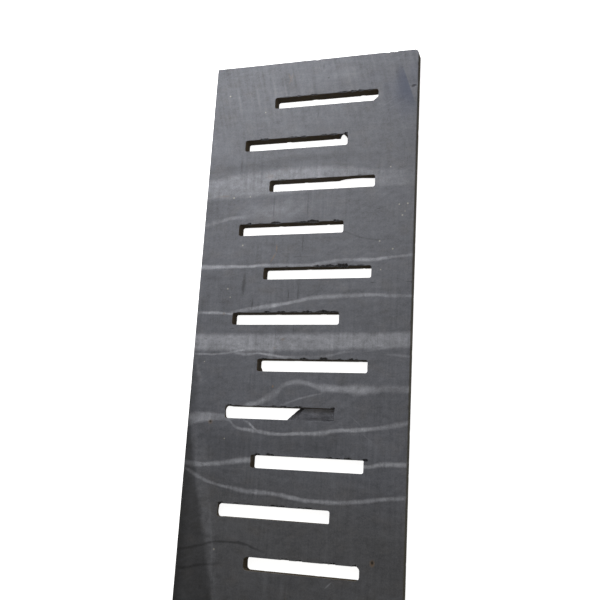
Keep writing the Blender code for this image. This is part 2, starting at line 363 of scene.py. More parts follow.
# Flakes broken from the back face at a slot's upper wall: slot, middle from the left
# side, length, reach into the wall and depth, in mm. Then those at its left wall: slot,
# length, reach and depth.
TOP_SPALLS = ((2, 292.5, 14, 9, 25), (3, 330, 78, 9.5, 9.0))
LEFT_SPALLS = ((8, 33, 8.5, 18), (10, 33, 7.5, 18))

# Nicks in the head's and the right side's front edge: place and length, in mm.
HEAD_NICKS = ((232, 11), (386, 9), (402, 12))
RIGHT_NICKS = ((32, 8), (498, 9), (580, 12), (742, 7))
NICK_REACH = 1.7

# A shallow flake scar beside the round head corner, and the pit below it, in mm from
# the left side and from the head end.
SCAR_TOP, SCAR_BOTTOM = (410, 8), (437, 90)
SCAR_WIDTH, SCAR_DEPTH = 36, 1.1
PIT = (443, 82.5)
PIT_SIZE = (10, 6, 6)

# Small breaks along the back edges: how many, and the ranges of their sizes in mm.
BACK_CHIPS_PER_SLOT = 4
BACK_CHIP_LENGTH, BACK_CHIP_WIDTH, BACK_CHIP_DEPTH = (6, 20), (3, 7), 5
BACK_EDGE_CHIPS = 26
EDGE_CHIP_LENGTH, EDGE_CHIP_WIDTH, EDGE_CHIP_DEPTH = (6, 16), 3, 4
BACK_CHIP_SCATTER = (0.2, 0.8)

# The seeds of what is broken by chance.
SEED = 1138
HEAD_NICK_SEED, RIGHT_NICK_SEED, PIT_SEED, SPALL_SEED = 50, 60, 70, 80


def round_corners(face, radius, test):
    """Rounds the corners of a flat face that pass a test."""
    edit(face, "VERT")
    bpy.ops.mesh.select_all(action="DESELECT")
    done()
    for vertex in face.data.vertices:
        vertex.select = test(vertex.co)
    bpy.ops.object.mode_set(mode="EDIT")
    bpy.ops.mesh.bevel(offset=radius, segments=ROUND_SEGMENTS, affect="VERTICES")
    done()


def flat_outline(box, height, radius, test=lambda corner: True):
    """A flat face with round corners, lying at a height."""
    left, right, bottom, top = box
    centre = ((left + right) / 2, (bottom + top) / 2, height)
    bpy.ops.mesh.primitive_plane_add(size=1, location=centre)
    face = bpy.context.object
    face.scale = (right - left, top - bottom, 1)
    settle(face)
    round_corners(face, radius, test)
    return face


def raise_up(face, height):
    """Makes a closed block of a flat face."""
    edit(face, "FACE")
    bpy.ops.mesh.extrude_region_move(TRANSFORM_OT_translate={"value": (0, 0, height)})
    done()
    face_out(face)
    return face


def prism(box, low, high, radius):
    """An upright block with round corners."""
    return raise_up(flat_outline(box, low, radius), high - low)


def split_long_edges(obj, step):
    """Divides every edge that is longer than a step."""
    def length(a, b):
        """Length in whole millimetres, so that edges can be grouped by it."""
        return round((a - b).length / MM)

    vertices = obj.data.vertices
    lengths = {length(*(vertices[i].co for i in e.vertices)) for e in obj.data.edges}
    for size in sorted(lengths):
        cuts = int(size * MM / step) - 1
        if cuts < 1:
            continue
        pick_edges(obj, lambda a, b, size=size: length(a, b) == size)
        bpy.ops.mesh.subdivide(number_cuts=cuts)
        done()


def rim(face, step, wear):
    """A thin worm round a flat face's outline, which takes the sharp arris off."""
    edit(face, "FACE")
    bpy.ops.mesh.delete(type="ONLY_FACE")
    done()
    split_long_edges(face, step)
    select_only(face)
    bpy.ops.object.convert(target="CURVE")
    curve = bpy.context.object
    curve.data.bevel_depth = wear
    curve.data.bevel_resolution = 2
    bpy.ops.object.convert(target="MESH")
    return bpy.context.object


def head_right(corner):
    """Whether a corner is the one that is rubbed round."""
    return corner.x > 0 and corner.y > 0


def blank():
    """The sawn slab with one head corner rubbed round."""
    box = (SLAB_LOW[0], SLAB_HIGH[0], SLAB_LOW[1], SLAB_HIGH[1])
    face = flat_outline(box, SLAB_LOW[2], HEAD_CORNER_RADIUS, head_right)
    round_corners(face, SIDE_CORNER_WEAR, lambda corner: corner.x < 0 or corner.y < 0)
    slab = raise_up(face, THICKNESS)
    slab.name = "slab_of_slate"
    for finish in (HONED, SAWN):
        slab.data.materials.append(bpy.data.materials[finish])
    pick_faces(slab, lambda face: abs(face.normal.z) < 0.5)
    slab.active_material_index = 1
    bpy.ops.object.material_slot_assign()
    done()
    return slab


def sliver(sizes, number, side, width, height, rise):
    """The three-cornered bit of stone that stays in a lower corner of a slot."""
    left, right, bottom, _ = slot_box(sizes, number)
    wall = right if side > 0 else left
    width, height, rise = width * MM, height * MM, rise * MM
    centre = (wall, bottom, rise / 2 - CLEAR)
    bpy.ops.mesh.primitive_cube_add(size=1, location=centre)
    bit = bpy.context.object
    bit.scale = (2.5 * width, 2.5 * height, rise + 2 * CLEAR)
    settle(bit)
    edit(bit, "FACE")
    bpy.ops.mesh.bisect(
        plane_co=(wall, bottom + height, 0),
        plane_no=Vector((-side / width, 1 / height, 1 / rise)).normalized(),
        use_fill=True, clear_outer=True)
    done()
    return bit


def cut_slots(slab, sizes):
    """Cuts all the slots. The half-cut one stops above its web."""
    low, high = SLAB_LOW[2] - CLEAR, SLAB_HIGH[2] + CLEAR
    cutters = []
    for number in range(1, sizes.slot_count + 1):
        floor = WEB_THICKNESS + TORN_DEPTH if number == HALF_CUT_SLOT else low
        cutter = prism(slot_box(sizes, number), floor, high, slot_radius(sizes, number))
        for slot, *shape in SLIVERS:
            if slot == number:
                subtract(cutter, sliver(sizes, number, *shape), BROKEN)
        cutters.append(cutter)
    subtract(slab, join(cutters, "slot_cutters"), DUSTY)


def stretched_guide(scale):
    """An empty whose scale stretches a noise."""
    bpy.ops.object.empty_add(location=(0, 0, 0))
    guide = bpy.context.object
    guide.scale = scale
    bpy.context.view_layer.update()
    return guide


def tear_web(slab, sizes):
    """Makes the floor of the half-cut slot rough, with ridges along it."""
    left, right, bottom, top = slot_box(sizes, HALF_CUT_SLOT)
    centre = ((left + right) / 2, (bottom + top) / 2, WEB_THICKNESS + TORN_DEPTH / 4)
    columns, rows = TORN_GRID
    bpy.ops.mesh.primitive_grid_add(
        x_subdivisions=columns, y_subdivisions=rows, size=1, location=centre)
    floor = bpy.context.object
    floor.scale = (right - left - 2 * TORN_INSET, top - bottom - 2 * TORN_INSET, 1)
    settle(floor)
    guide = stretched_guide((RIDGE_STRETCH, 1, 1))
    roughen(floor, *TORN_RIDGES, "torn ridges", direction="Z", guide=guide)
    roughen(floor, *TORN_STEPS, "torn steps", direction="Z")
    bpy.data.objects.remove(guide)
    subtract(slab, raise_up(floor, 2 * CLEAR), TORN)


def open_half_cut_slot(slab, sizes):
    """Breaks the web out of the left part of the half-cut slot, on a slant."""
    left, _, bottom, top = slot_box(sizes, HALF_CUT_SLOT)
    box = (left, 0.0, bottom, top)
    cutter = prism(box, -CLEAR, WEB_THICKNESS + CLEAR, sizes.slot_radius)
    edit(cutter, "FACE")
    cut_x = left + 50 * MM
    bpy.ops.mesh.bisect(
        plane_co=(cut_x, 0, 0), plane_no=(1, 0, 0), use_fill=True, clear_outer=True)
    done()
    # The squared end is moved to the slanting line of the break.
    over = CLEAR / WEB_THICKNESS
    for vertex in cutter.data.vertices:
        if vertex.co.x < cut_x - MM:
            continue
        level = -over if vertex.co.z < 0 else 1 + over
        upper = vertex.co.y > (bottom + top) / 2
        back, front = FRACTURE_BACK[upper], FRACTURE_FRONT[upper]
        vertex.co.x = across(back + (front - back) * level)
    cutter.vertex_groups.new(name="break")
    pick_faces(cutter, lambda face: face.normal.x > 0.2)
    bpy.ops.mesh.subdivide(number_cuts=FRACTURE_CUTS)
    bpy.ops.object.vertex_group_assign()
    done()
    roughen(cutter, *FRACTURE_BREAKS, "torn end", "break", "X")
    subtract(slab, cutter, BROKEN)


def wear_edges(slab, sizes):
    """Breaks the arris round the slots and the slab, unevenly."""
    rims = []
    outline = (SLAB_LOW[0], SLAB_HIGH[0], SLAB_LOW[1], SLAB_HIGH[1])
    for height in (SLAB_LOW[2], SLAB_HIGH[2]):
        face = flat_outline(outline, height, HEAD_CORNER_RADIUS, head_right)
        rims.append(rim(face, SIDE_RIM_STEP, sizes.side_wear))
        for number in range(1, sizes.slot_count + 1):
            if number == HALF_CUT_SLOT and height == SLAB_LOW[2]:
                continue
            box, radius = slot_box(sizes, number), slot_radius(sizes, number)
            face = flat_outline(box, height, radius)
            rims.append(rim(face, SLOT_RIM_STEP, sizes.slot_wear))
    worms = join(rims, "rims")
    roughen(worms, *FINE_WEAR, "fine breaks")
    roughen(worms, *LONG_WEAR, "long breaks")
    subtract(slab, worms, BROKEN)


def lump(centre, size, seed, turn=0.0, facets=2):
    """A crooked, many-faced lump of a break's length, reach and depth."""
    bpy.ops.mesh.primitive_ico_sphere_add(
        subdivisions=facets, radius=0.5, location=centre)
    ball = bpy.context.object
    edit(ball, "VERT")
    bpy.ops.transform.vertex_random(offset=LUMP_CROOKED, uniform=1.0, seed=seed)
    bpy.ops.mesh.convex_hull(use_existing_faces=False, join_triangles=False)
    done()
    ball.scale = size
    ball.rotation_euler.z = turn
    settle(ball)
    return ball


def take_lumps(slab, lumps):
    """Cuts lumps in turns, so that neighbours that touch are never in one cut."""
    for turn in range(3):
        group = lumps[turn::3]
        if group:
            cutter = join(group, "breaks")
            face_out(cutter)
            subtract(slab, cutter, BROKEN)


def chip_edges(slab, sizes):
    """Takes the chips from the slots' upper front edges, in a few flakes each."""
    rng = random.Random(SEED)
    flakes = []
    for number, start, end, reach in FRONT_CHIPS:
        top = slot_box(sizes, number)[3]
        count = max(2, round((end - start) / FLAKE_SPACING))
        for index in range(count):
            share = (index + 0.5) / count
            crown = 1 - (CHIP_CROWN * (share - 0.5)) ** 2
            rise = reach * crown * rng.uniform(*FLAKE_RISE)
            length = (end - start) / count * rng.uniform(*FLAKE_LENGTH)
            centre = (across(start + (end - start) * share), top, SLAB_HIGH[2])
            size = (length * MM, 2 * rise * MM, 2 * rise * CHIP_DEPTH_PER_REACH * MM)
            seed, turn = rng.randrange(1000), rng.uniform(*FLAKE_TURN)
            flakes.append(lump(centre, size, seed, turn))
    take_lumps(slab, flakes)


def nick_outer_edges(slab):
    """Nicks the head's and the right side's front edge, and takes out the pit."""
    lumps = []
    right, head, front = SLAB_HIGH
    for seed, (place, length) in enumerate(HEAD_NICKS, HEAD_NICK_SEED):
        size = (length * MM, 2 * NICK_REACH * MM, 4 * NICK_REACH * MM)
        lumps.append(lump((across(place), head, front), size, seed))
    for seed, (place, length) in enumerate(RIGHT_NICKS, RIGHT_NICK_SEED):
        size = (2 * NICK_REACH * MM, length * MM, 4 * NICK_REACH * MM)
        lumps.append(lump((right, down(place), front), size, seed))
    size = [side * MM for side in PIT_SIZE]
    lumps.append(lump((across(PIT[0]), down(PIT[1]), front), size, PIT_SEED))
    take_lumps(slab, lumps)


def spall_slots(slab, sizes):
    """Breaks the deep flakes from the back face at the walls of four slots."""
    lumps = []
    for number, middle, length, reach, depth in TOP_SPALLS:
        _, right, _, top = slot_box(sizes, number)
        size = (length * MM, 2 * reach * MM, 2 * depth * MM)
        centre = (across(middle), top, SLAB_LOW[2])
        flake = lump(centre, size, SPALL_SEED + number, facets=3)
        # A long flake stops at the slot's right end.
        edit(flake, "FACE")
        bpy.ops.mesh.bisect(
            plane_co=(right + MM, 0, 0), plane_no=(1, 0, 0), use_fill=True,
            clear_outer=True)
        done()
        lumps.append(flake)
    for number, length, reach, depth in LEFT_SPALLS:
        left, _, bottom, top = slot_box(sizes, number)
        size = (2 * reach * MM, length * MM, 2 * depth * MM)
        centre = (left, (bottom + top) / 2, SLAB_LOW[2])
        lumps.append(lump(centre, size, SPALL_SEED + number, facets=3))
    take_lumps(slab, lumps)


def scar_head_corner(slab):
    """A thin wedge off the face, deepest along a slanting line at its right."""
    top = Vector((across(SCAR_TOP[0]), down(SCAR_TOP[1]), SLAB_HIGH[2]))
    bottom = Vector((across(SCAR_BOTTOM[0]), down(SCAR_BOTTOM[1]), SLAB_HIGH[2]))
    line = bottom - top
    half, width, depth = line.length / 2, SCAR_WIDTH * MM, SCAR_DEPTH * MM
    # The wedge starts a little above the face, and is as much larger there.
    lift = 0.5 * MM
    grow = 1 + lift / depth
    centre = (top + bottom) / 2 + Vector((0, 0, lift))
    bpy.ops.mesh.primitive_cone_add(vertices=36, radius1=1, depth=1, location=centre)
    wedge = bpy.context.object
    edit(wedge, "VERT")
    bpy.ops.transform.translate(value=(0, 0, 0.5))
    bpy.ops.transform.vertex_random(offset=0.02, uniform=1.0, seed=5)
    done()
    wedge.scale = (width * grow, half * grow, -(depth + lift))
    wedge.rotation_euler.z = math.atan2(line.x, -line.y)
    settle(wedge)
    face_out(wedge)
    edit(wedge, "FACE")
    bpy.ops.mesh.bisect(
        plane_co=top, plane_no=Vector((-line.y, line.x, 0)).normalized(),
        use_fill=True, clear_outer=True)
    done()
    subtract(slab, wedge, HONED)


def break_back_edges(slab, sizes):
    """Small breaks along the back edges, where the saw came out of the stone."""
    rng = random.Random(SEED)
    lumps = []
    for number in range(1, sizes.slot_count + 1):
        left, right, bottom, top = slot_box(sizes, number)
        if number == HALF_CUT_SLOT:
            right = across(FRACTURE_BACK[0])
        for count in range(BACK_CHIPS_PER_SLOT):
            share = (count + rng.uniform(*BACK_CHIP_SCATTER)) / BACK_CHIPS_PER_SLOT
            length = rng.uniform(*BACK_CHIP_LENGTH)
            width = rng.uniform(*BACK_CHIP_WIDTH)
            size = (length * MM, width * MM, BACK_CHIP_DEPTH * MM)
            wall = top if count % 2 else bottom
            centre = (left + (right - left) * share, wall, SLAB_LOW[2])
            lumps.append(lump(centre, size, rng.randrange(1000)))
    around = 2 * (WIDTH + LENGTH)
    for count in range(BACK_EDGE_CHIPS):
        place = around * (count + rng.uniform(*BACK_CHIP_SCATTER)) / BACK_EDGE_CHIPS
        length = rng.uniform(*EDGE_CHIP_LENGTH)
        size = (EDGE_CHIP_WIDTH * MM, length * MM, EDGE_CHIP_DEPTH * MM)
        if place < 2 * LENGTH:
            side = SLAB_LOW[0] if place < LENGTH else SLAB_HIGH[0]
            centre = (side, SLAB_LOW[1] + place % LENGTH, SLAB_LOW[2])
        else:
            place -= 2 * LENGTH
            side = SLAB_LOW[1] if place < WIDTH else SLAB_HIGH[1]
            centre = (SLAB_LOW[0] + place % WIDTH, side, SLAB_LOW[2])
            size = (size[1], size[0], size[2])
        lumps.append(lump(centre, size, rng.randrange(1000)))
    take_lumps(slab, lumps)


def split_faces(slab):
    """Splits the many-sided faces that the cuts leave, and keeps the slab closed."""
    edit(slab, "FACE")
    bpy.ops.mesh.quads_convert_to_tris(quad_method="BEAUTY", ngon_method="BEAUTY")
    done()


class SLATE_OT_cut_slab(bpy.types.Operator):
    """Cut the slab, its slots and their worn edges"""

    bl_idname = "slate.cut_slab"
    bl_label = "Cut the slab"
    bl_options = {"REGISTER", "UNDO"}

    def execute(self, context):
        sizes, look = context.scene.slate_sizes, context.scene.slate_look
        finish_stone(look)
        slab = blank()
        cut_slots(slab, sizes)
        tear_web(slab, sizes)
        open_half_cut_slot(slab, sizes)
        scar_head_corner(slab)
        spall_slots(slab, sizes)
        chip_edges(slab, sizes)
        nick_outer_edges(slab)
        break_back_edges(slab, sizes)
        wear_edges(slab, sizes)
        split_faces(slab)
        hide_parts("slate_slab")
        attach(slab, "root")
        return {"FINISHED"}


# --------------------------------------------------------------------------------------
# The stone
# --------------------------------------------------------------------------------------

# Sockets that share a name go by number. Map Range takes its value at 0, the range that
# it comes from at 1 and 2, and the range that it goes to at 3 and 4. A Mix of colours
# takes them at 6 and 7 and gives its result at 2.


def add(tree, kind, links=None, **settings):
    """Adds a node, sets its properties, and fills its inputs with values or sockets."""
    node = tree.nodes.new(kind if kind.startswith("NodeGroup") else "ShaderNode" + kind)
    for key, value in settings.items():
        setattr(node, key, value)
    for key, value in (links or {}).items():
        if isinstance(value, bpy.types.Node):
            value = value.outputs[0]
        if isinstance(value, bpy.types.NodeSocket):
            tree.links.new(value, node.inputs[key])
        else:
            node.inputs[key].default_value = value
    return node



# Patterns are laid out in millimetres: X from the left side, down from the head end.
# Curve nodes work between 0 and 1, so places are divided by these spans.
RUN_ACROSS, RUN_DOWN = 450.0, 1200.0
WIDEST_VEIN = 60.0
# How far a bed slants as it goes down through the slab, in mm per mm.
DIP = 0.35

# Pale beds and veins that cross the slab: softness of the edge, then the line, as
# (X, down, half width, strength).
VEINS = (
    # The broad pale bed at the third slot, which fades to the right.
    (0.30, ((0, 285, 22, 0.42), (60, 281, 24, 0.42), (125, 277, 26, 0.45),
            (200, 273, 25, 0.50), (290, 271, 22, 0.40), (340, 275, 19, 0.30),
            (380, 278, 18, 0.22), (450, 280, 18, 0.12))),
    # The vein at its left, and the soft patch that it ends in.
    (0.80, ((0, 367.7, 3.7, 0.51), (25, 359.8, 4.9, 0.24), (52, 353.3, 3.5, 0.34),
            (85, 349.9, 3.5, 0.27), (105, 349, 4.5, 0.12), (125, 347, 6, 0.00))),
    (0.90, ((70, 344, 8, 0.00), (110, 343, 12, 0.12), (170, 337, 16, 0.26),
            (220, 331, 16, 0.14), (260, 330, 14, 0.00))),
    # The vein above the fifth slot.
    (0.75, ((0, 457.3, 4.2, 0.77), (52, 457.6, 3.4, 0.72), (102, 457.4, 2.8, 1.00),
            (152, 457.2, 3, 0.58), (200, 458.2, 3.5, 0.41), (245, 458.2, 3, 0.42),
            (268, 454.2, 3.2, 0.52), (318, 448.9, 2.7, 0.36), (368, 449.8, 3.7, 0.73),
            (402, 446.6, 2.6, 0.50), (450, 441, 2.5, 0.25))),
    # The stub and the main vein above the sixth slot.
    (0.80, ((0, 555.2, 2.1, 0.20), (5, 555.5, 2.8, 0.30), (38, 555.6, 2.8, 0.85),
            (78, 558.2, 1.9, 0.74), (92, 556.3, 2.5, 0.00))),
    (0.75, ((70, 557, 2.6, 0.00), (85, 554, 3, 0.36), (125, 547.6, 3.4, 0.57),
            (152, 543.1, 4.1, 0.62), (185, 538.4, 3.2, 0.88), (218, 532.7, 2.8, 0.71),
            (252, 525.9, 3.7, 0.58), (285, 524, 3.7, 0.64), (335, 522.1, 3.8, 0.41),
            (368, 521.5, 2.9, 0.64), (412, 523.9, 3, 0.30), (450, 525.8, 2.5, 0.35))),
    # The broad pale bed above the seventh slot.
    (0.34, ((0, 618, 16, 0.68), (120, 618, 16.5, 0.74), (200, 617, 16.5, 0.72),
            (260, 616, 16, 0.74), (330, 614, 15, 0.66), (390, 613, 14.5, 0.62),
            (450, 610, 14.5, 0.52))),
    # Thin veins below it, which cross each other.
    (0.80, ((0, 641.7, 2, 0.51), (35, 643, 1.8, 0.61), (62, 641.1, 1.4, 0.54),
            (85, 638, 2.3, 0.58), (102, 633.6, 2.4, 1.00), (118, 632.2, 1.7, 0.20),
            (140, 624.7, 3, 0.00))),
    (0.80, ((70, 633, 1.6, 0.00), (85, 636.7, 2.2, 0.51), (118, 641.8, 3.1, 0.57),
            (142, 639.6, 1.6, 0.71), (165, 643.1, 2.3, 0.93), (202, 647.3, 2.5, 0.60),
            (230, 647, 3, 0.23), (285, 644, 2.7, 0.20), (310, 638, 2.2, 0.26),
            (345, 634, 2, 0.10), (380, 634, 2, 0.00))),
    (0.80, ((395, 638.8, 1.5, 0.00), (418, 640.6, 2.2, 0.23), (450, 643.2, 1.7, 0.32))),
    # The vein that climbs to the right above the eighth slot, and its thin neighbour.
    (0.80, ((108, 756.4, 4, 0.00), (125, 746.4, 4.6, 0.46), (152, 738.4, 5, 0.74),
            (172, 725.7, 6.9, 0.26), (185, 719, 6.9, 0.27), (198, 705.3, 5.7, 0.30),
            (212, 697.6, 3.5, 0.60), (228, 695, 5.1, 0.48), (245, 697.6, 3.5, 0.53),
            (268, 704.4, 4.8, 0.68), (285, 707.4, 5.9, 0.82), (318, 707.4, 5.3, 0.81),
            (352, 708.9, 8.4, 0.81), (385, 707.3, 6.4, 0.47), (418, 705.3, 5.1, 0.35),
            (450, 706.1, 5.6, 0.43))),
    (0.90, ((192, 744.6, 1.8, 0.00), (205, 740, 2, 0.20), (225, 731.7, 1.6, 0.33),
            (252, 723.6, 1.8, 0.42), (275, 718.6, 1.6, 0.24), (290, 714.6, 1.6, 0.00))),
    # The bed at the left of the eighth slot.
    (0.40, ((0, 776.7, 13, 0.43), (40, 770.4, 8.7, 0.73), (80, 768.7, 6.3, 0.34),
            (100, 765.3, 8, 0.62), (125, 761.3, 7, 0.00))),
    # The long vein below the eighth slot, and its branch.
    (0.75, ((78, 772.2, 2.2, 0.00), (92, 776.2, 2.4, 0.46), (102, 787, 2.8, 0.34),
            (113, 790.6, 2.5, 0.68), (135, 792.8, 2.8, 0.81), (152, 794.9, 2.7, 0.62),
            (172, 798.3, 3.4, 0.79), (198, 799.4, 2.3, 0.89), (235, 796.2, 2.5, 1.00),
            (268, 795.4, 3.5, 0.87), (292, 793.2, 4.3, 0.75), (302, 789.3, 3.3, 0.69),
            (325, 787.1, 2.8, 0.88), (352, 785.5, 3.5, 0.98), (385, 781.6, 3.4, 0.79),
            (418, 776.5, 4, 0.50), (450, 769.2, 3.6, 0.55))),
    (0.90, ((118, 772.9, 2, 0.00), (132, 778.9, 2.2, 0.50), (148, 792, 2.1, 0.92),
            (158, 797.9, 2, 0.00))),
    # The vein that the ninth slot cuts.
    (0.75, ((0, 861.4, 4.9, 0.90), (28, 864.8, 4.5, 0.70), (52, 863, 3.2, 0.94),
            (78, 860.3, 3.8, 0.84), (102, 856.2, 4.5, 0.68), (138, 851.4, 4.7, 0.94),
            (250, 849.7, 4.2, 0.50), (372, 852.9, 2.6, 0.88), (402, 847.2, 4.1, 0.91),
            (450, 845.2, 3.3, 0.68))),
    # The long vein above the tenth slot.
    (0.80, ((0, 871.9, 2.1, 0.28), (18, 880.4, 3.5, 0.87), (35, 888.8, 3.9, 0.58),
            (52, 896, 2.8, 0.59), (68, 900, 2.2, 0.42), (95, 904.9, 2.5, 0.87),
            (118, 908.4, 3.9, 0.57), (142, 912, 4, 0.84), (168, 911.2, 3.9, 0.77),
            (192, 912.4, 3.2, 0.71), (218, 915.6, 3.5, 0.99), (252, 920.4, 3.4, 0.92),
            (285, 921.4, 3, 0.90), (318, 921.4, 3.4, 0.77), (352, 918.5, 3.2, 0.65),
            (385, 913.8, 3.3, 0.84), (418, 908.7, 3, 0.72), (450, 905.1, 3.1, 0.50))),
)

# Pale smears that run down the slab: softness, then (down, X, half width, strength).
STEEP_VEINS = (
    (0.60, ((878, 34, 8, 0.0), (900, 42, 11, 0.08), (925, 48, 12, 0.12),
            (945, 54, 13, 0.13), (965, 60, 12, 0.12), (985, 66, 9, 0.12),
            (1005, 69, 9, 0.12), (1022, 75, 6, 0.10), (1040, 79, 7, 0.10),
            (1060, 77, 6, 0.10), (1085, 85, 6, 0.10), (1140, 92, 6, 0.10))),
    (1.00, ((925, 58, 3, 0.0), (940, 63, 3, 0.15), (980, 69, 3, 0.18),
            (1005, 73, 3, 0.22), (1022, 77, 3, 0.22), (1060, 77, 3, 0.20),
            (1085, 86, 3.5, 0.16), (1120, 90, 4, 0.0))),
    (1.00, ((785, 17, 5, 0.0), (800, 18, 6, 0.20), (820, 22, 7, 0.13),
            (845, 27, 8, 0.08), (870, 32, 9, 0.12), (892, 38, 9, 0.0))),
    (1.00, ((806, 37, 5, 0.0), (820, 38, 7, 0.15), (840, 41, 8, 0.14),
            (868, 43, 9, 0.12), (890, 46, 9, 0.0))),
    (1.00, ((648, 8, 3, 0.0), (664, 12, 3.5, 0.22), (684, 18, 4, 0.24),
            (704, 24, 4, 0.0))),
)

# Dark beds and arcs, laid out as the veins are.
DARK_BEDS = (
    (0.90, ((0, 243, 9, 0.16), (125, 233, 9, 0.22), (210, 226, 9, 0.22),
            (300, 226, 9, 0.16), (380, 232, 8, 0.08), (450, 245, 8, 0.06))),
    (0.80, ((0, 1029, 2.0, 0.10), (15, 1027, 2.4, 0.42), (55, 1017, 2.4, 0.40),
            (78, 1010, 2.0, 0.46), (118, 1008, 2.0, 0.50), (145, 1010, 2.2, 0.50),
            (158, 1015, 2.2, 0.44), (185, 1022, 1.6, 0.0))),
    (0.90, ((5, 1064, 2.0, 0.0), (18, 1063, 2.4, 0.44), (45, 1057, 2.4, 0.42),
            (68, 1053, 2.2, 0.38), (98, 1048, 1.8, 0.0))),
    (0.90, ((0, 826, 20, 0.10), (60, 822, 22, 0.22), (110, 824, 22, 0.22),
            (200, 818, 16, 0.16), (280, 820, 16, 0.24), (330, 820, 14, 0.0))),
    (0.90, ((225, 376, 1.4, 0.0), (290, 384, 1.8, 0.22), (350, 404, 1.8, 0.24),
            (400, 412, 1.4, 0.0))),
)

# Rubbed marks, as X, down, half width, half length, turn in degrees and strength.
DARK_MARKS = (
    (155, 332, 1.96, 32, 0, 0.36), (229, 331, 1.96, 30, 0, 0.31),
    (223, 410, 1.12, 24, 0, 0.42), (100, 497, 5.04, 27, 3, 0.5),
    (122, 538, 2.24, 16, 2, 0.42), (199, 520, 1.68, 15, 0, 0.48),
    (219, 518, 1.68, 18, 0, 0.34), (214, 591, 1.96, 9, 0, 0.34),
    (24, 480, 16.8, 9, 0, 0.2), (220, 440, 30.8, 1.2, 0, 0.2),
    (240, 130, 1.96, 13, 6, 0.22), (184, 46, 3.36, 36, -13, 0.22),
    (247, 19, 3.36, 9, 0, 0.36), (259, 46, 2.52, 2.4, 0, 0.56),
    (379, 344, 5.04, 0.9, -4, 0.59), (372, 497, 5.6, 1, 0, 0.59),
    (444, 496, 7, 1.2, 0, 0.48), (75, 231, 2.24, 15, 0, 0.22),
    (129, 696, 1.96, 18, 0, 0.22), (15, 536, 14, 26, 0, 0.2),
    (392, 1023.2, 3.4, 4.6, 0, 0.9), (50, 779, 3.4, 3.2, 0, 0.8),
    (25, 611, 4.2, 1, 0, 0.42), (82, 589, 6.3, 0.9, 3, 0.48),
    (345, 515, 84, 7, -4, 0.14), (60, 1000, 50.4, 5, 14, 0.17),
    (360, 660, 98, 7, -12, 0.14),
)
PALE_MARKS = (
    (311, 1070, 1.56, 10, 45, 0.58), (188, 1075, 6.5, 26, 0, 0.12),
    (222, 1080, 5.2, 22, 0, 0.13), (102, 80, 4, 44, -13, 0.14),
    (138, 60, 4, 50, -13, 0.12), (165, 70, 3.4, 46, -14, 0.14),
    (60, 90, 4.4, 50, -12, 0.12), (300, 40, 39, 22, 0, 0.08),
    (170, 640, 6.5, 30, 4, 0.34), (433, 42, 9, 24, -24, 0.06),
    (395, 628, 39, 3, -10, 0.24), (396, 112, 1.6, 34, 62, 0.14),
    (402, 123, 1.4, 34, 66, 0.12), (352, 770, 1.6, 24, -50, 0.16),
    (374, 800, 1.6, 20, -50, 0.14),
)
RUST_MARKS = (
    (50, 779.5, 6, 5.5, 0, 0.45), (392, 1024.5, 5.4, 7, 0, 0.8),
    (178, 706, 2.34, 3.2, 8, 0.72), (193, 611, 4.42, 3.4, 0, 0.34),
    (176, 629, 3.38, 2.6, 0, 0.29), (61, 558, 2.6, 3, 0, 0.39),
    (167, 420, 2, 9, -2, 0.5), (161, 440, 2, 13, 28, 0.5), (40, 301, 18, 2.6, 0, 0.2),
    (175, 40, 2.6, 16, 20, 0.2), (173, 38, 2.6, 14, -26, 0.2),
    (142, 262, 12, 7, 0, 0.16), (230, 1100, 2.08, 1.6, 0, 0.26),
)
# Blue smears near the scar at the head, laid out as the marks are.
BLUE_MARKS = (
    (428, 126, 26, 38, -8, 0.24), (392, 86, 24, 34, 0, 0.18),
    (360, 60, 30, 34, 0, 0.08), (442, 56, 14, 38, 0, 0.18),
)
# Pale grains: X, down and radius.
SPECKS = (
    (35, 68, 2.4), (63, 306, 2.6), (100, 305, 2.0), (420, 337, 2.0), (437, 336, 2.4),
    (427, 360, 2.2), (383, 412, 2.2), (410, 429, 2.2), (387, 471, 1.8), (91, 412, 2.4),
    (65, 505, 2.2), (72, 523, 1.8), (83, 812, 1.8), (79, 1024, 2.4), (121, 114, 1.8),
    (400, 256, 2.0), (432, 352, 1.4), (26, 658, 1.6),
)
SPECK_STRENGTH = 0.75

# How far a vein's edge moves in and out.
VEIN_SWELL = 0.8
# How far the beds' course wanders, over a long and over a short way, and the smears'.
BED_WANDER, BED_JITTER, SMEAR_JITTER = 3.4, 1.4, 3.0
# How deep a mark reaches into the face.
MARK_DEPTH = 4.0
# Near the head end the saw marks slant and are coarser: where that starts and is full.
SLANTED_SAW = (260.0, 120.0)
# The darker, less blue stone towards the foot: where it starts and is full before its
# edge wanders, how much lower that is per mm to the right, and how far up the edge
# wanders.
DARKER_FOOT = (860.0, 960.0)
DARKER_FOOT_LEAN, DARKER_FOOT_WANDER = 0.16, 90.0
# The scar's right edge: its X at the head end, and how much X grows per mm down.
SCAR_LINE, SCAR_LEAN = 406.5, 0.334
# Painted shade beside it, along the scar's step, in the smears' colour: where down the
# edge it comes to a point, and its strength.
SCAR_SHADE_POINT, SCAR_SHADE_STRENGTH = 12.0, 0.58
# The darker stone at the foot's left lies left of a slanting line: how much the line's
# X grows per mm down, the line at the head end for its edge and for its full strength,
# and that strength.
FOOT_LEFT_DARK_LEAN, FOOT_LEFT_DARK_LINE, FOOT_LEFT_DARK_STRENGTH = 0.23, (-160.0, -172.0), 0.42
# The narrower darker strip along the left side: its edge in X, its strength, and its
# head end.
LEFT_SIDE_DARK_EDGE, LEFT_SIDE_DARK_STRENGTH = (34.0, 12.0), 0.46
LEFT_SIDE_DARK_HEAD = (610.0, 700.0)
# Painted light on the torn web, strongest at the half-cut slot's upper wall, where that
# wall's shade falls: where it starts, how far it fades down from there, and from and to
# how many times the stone's tone.
TEAR_TOP, TEAR_FADE = 746.0, 18.0
TEAR_PAINTED_LIGHT = (4.1, 1.08)


